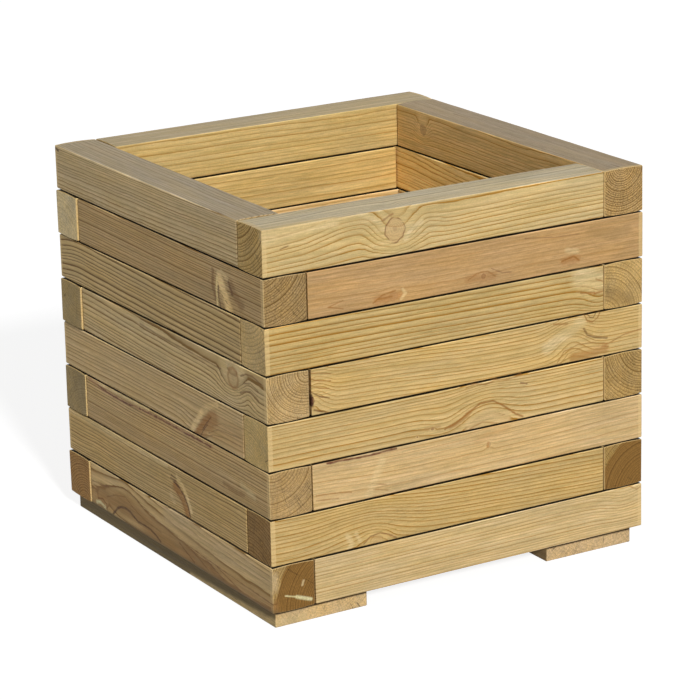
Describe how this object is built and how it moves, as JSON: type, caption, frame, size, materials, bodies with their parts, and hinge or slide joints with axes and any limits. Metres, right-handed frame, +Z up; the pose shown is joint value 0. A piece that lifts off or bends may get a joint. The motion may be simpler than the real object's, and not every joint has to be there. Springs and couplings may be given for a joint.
{
  "type": "square planter",
  "caption": "Square timber planter box of stacked rails that interlock at the corners in alternate courses, on two low bearer boards, with a slatted draining floor.",
  "frame": {"origin": "on the ground, under the middle of the box", "axes": "+X to the right along the front wall, +Y from the front wall to the back wall, +Z up"},
  "size_m": [0.42, 0.42, 0.384],
  "materials": {
    "rail_timber": "planed pressure-treated softwood, bare",
    "board_timber": "sawn pressure-treated softwood, bare",
    "screw_steel": "dull zinc coating",
    "nail_steel": "galvanised, dull"
  },
  "bodies": {
    "root": {"course_1_front_rail": "rail_timber", "course_1_right_rail": "rail_timber", "course_1_back_rail": "rail_timber", "course_1_left_rail": "rail_timber", "course_2_front_rail": "rail_timber", "course_2_right_rail": "rail_timber", "course_2_back_rail": "rail_timber", "course_2_left_rail": "rail_timber", "course_3_front_rail": "rail_timber", "course_3_right_rail": "rail_timber", "course_3_back_rail": "rail_timber", "course_3_left_rail": "rail_timber", "course_4_front_rail": "rail_timber", "course_4_right_rail": "rail_timber", "course_4_back_rail": "rail_timber", "course_4_left_rail": "rail_timber", "course_5_front_rail": "rail_timber", "course_5_right_rail": "rail_timber", "course_5_back_rail": "rail_timber", "course_5_left_rail": "rail_timber", "course_6_front_rail": "rail_timber", "course_6_right_rail": "rail_timber", "course_6_back_rail": "rail_timber", "course_6_left_rail": "rail_timber", "course_7_front_rail": "rail_timber", "course_7_right_rail": "rail_timber", "course_7_back_rail": "rail_timber", "course_7_left_rail": "rail_timber", "course_8_front_rail": "rail_timber", "course_8_right_rail": "rail_timber", "course_8_back_rail": "rail_timber", "course_8_left_rail": "rail_timber", "left_bearer": "board_timber", "right_bearer": "board_timber", "floor_slat_1": "board_timber", "floor_slat_2": "board_timber", "floor_slat_3": "board_timber", "course_2_screws": "screw_steel", "course_3_screws": "screw_steel", "course_4_screws": "screw_steel", "course_5_screws": "screw_steel", "course_6_screws": "screw_steel", "course_7_screws": "screw_steel", "course_8_screws": "screw_steel", "bearer_screws": "screw_steel", "floor_slat_nails": "nail_steel"}
  },
  "joints": []
}
